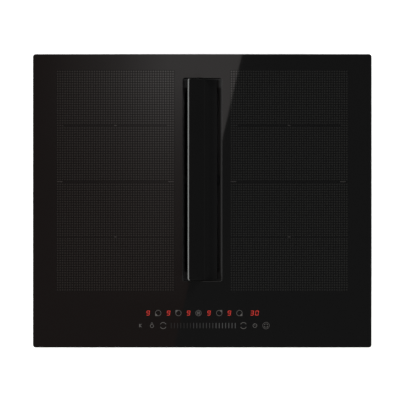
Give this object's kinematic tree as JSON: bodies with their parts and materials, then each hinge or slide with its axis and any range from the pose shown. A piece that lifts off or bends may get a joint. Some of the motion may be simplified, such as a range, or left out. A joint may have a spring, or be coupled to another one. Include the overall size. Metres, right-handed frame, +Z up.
{
  "type": "downdraft induction cooktop",
  "caption": "Built-in black glass induction cooktop with a swivelling centre flap over a downdraft extractor, filter unit, fan and rear duct outlet.",
  "frame": {"origin": "middle of the glass's outline, on the plane that the housing's feet stand on", "axes": "+X to the user's right, +Y to the rear, +Z up"},
  "size_m": [0.6, 0.52, 0.2322],
  "materials": {
    "black_glass": "polished black glass-ceramic",
    "black_plastic": "fine moulded texture",
    "grey_plastic": "moulded, semi matt",
    "foam_seal": "closed-cell foam tape",
    "galvanised_steel": "galvanised sheet",
    "black_steel": "black powder coat",
    "aluminium": "mill finish",
    "stainless": "satin stainless",
    "copper_winding": "enamelled copper litz",
    "ferrite": "moulded former with sintered ferrite bars",
    "mica": "mica and felt sheet",
    "circuit_board": "solder-resist coated laminate",
    "rubber": "moulded rubber",
    "display_plastic": "dark red display face"
  },
  "bodies": {
    "housing": {"glass_top": "black_glass", "worktop_seal": "foam_seal", "intake_collar": "black_steel", "intake_shaft": "black_plastic", "hob_tray": "galvanised_steel", "mains_filter_board": "circuit_board", "motor_driver_board": "circuit_board", "terminal_box": "black_plastic", "cable_gland": "black_plastic", "control_carrier": "black_plastic", "control_board": "circuit_board", "display_strip": "display_plastic", "slider_strip": "display_plastic", "lower_housing": "black_plastic", "drain_plug": "rubber", "scroll_housing": "black_plastic", "scroll_cover": "black_plastic", "extractor_motor": "galvanised_steel", "outlet_duct": "black_plastic", "outlet_spigot": "black_plastic", "coil_plate_left": "aluminium", "insulation_sheet_left": "mica", "power_board_left": "circuit_board", "heat_sink_left": "aluminium", "cooling_fan_frame_left": "black_plastic", "coil_front_left": "copper_winding", "coil_former_front_left": "ferrite", "temperature_sensor_front_left": "stainless", "clamp_front_left": "galvanised_steel", "coil_rear_left": "copper_winding", "coil_former_rear_left": "ferrite", "temperature_sensor_rear_left": "stainless", "clamp_rear_left": "galvanised_steel", "coil_plate_right": "aluminium", "insulation_sheet_right": "mica", "power_board_right": "circuit_board", "heat_sink_right": "aluminium", "cooling_fan_frame_right": "black_plastic", "coil_front_right": "copper_winding", "coil_former_front_right": "ferrite", "temperature_sensor_front_right": "stainless", "clamp_front_right": "galvanised_steel", "coil_rear_right": "copper_winding", "coil_former_rear_right": "ferrite", "temperature_sensor_rear_right": "stainless", "clamp_rear_right": "galvanised_steel"},
    "flap_insert_unit": {"flap_insert": "black_plastic"},
    "flap": {"flap_glass": "black_glass", "flap_carrier": "aluminium", "flap_trunnion_front": "grey_plastic", "flap_trunnion_rear": "grey_plastic"},
    "filter_unit": {"filter_frame": "black_steel", "filter_mesh_left": "aluminium", "filter_mesh_right": "aluminium", "filter_handle": "black_steel", "drip_tray": "black_plastic"},
    "extractor_rotor": {"impeller": "grey_plastic", "motor_shaft": "stainless"},
    "cooling_rotor_left": {"cooling_fan_rotor_left": "black_plastic"},
    "cooling_rotor_right": {"cooling_fan_rotor_right": "black_plastic"}
  },
  "joints": [
    {"name": "filter_lift", "type": "slide", "parent": "housing", "child": "filter_unit", "axis": [0, 0, 1], "range_m": [0, 0.105]},
    {"name": "insert_lift", "type": "slide", "parent": "housing", "child": "flap_insert_unit", "axis": [0, 0, 1], "range_m": [0, 0.17]},
    {"name": "flap_swivel", "type": "hinge", "parent": "flap_insert_unit", "child": "flap", "pos_m": [0, 0.0376, 0.2075], "axis": [0, 1, 0], "range_deg": [-86, 0]},
    {"name": "impeller_spin", "type": "hinge", "parent": "housing", "child": "extractor_rotor", "pos_m": [0.128, -0.029, 0.05], "axis": [0, 0, 1], "continuous": true},
    {"name": "cooling_fan_left_spin", "type": "hinge", "parent": "housing", "child": "cooling_rotor_left", "pos_m": [-0.131, -0.196, 0.163], "axis": [0, 0, 1], "continuous": true},
    {"name": "cooling_fan_right_spin", "type": "hinge", "parent": "housing", "child": "cooling_rotor_right", "pos_m": [0.131, -0.196, 0.163], "axis": [0, 0, 1], "continuous": true}
  ],
  "couplings": [
    {"joint": "insert_lift", "follows": "filter_lift", "ratio": 1.6}
  ]
}
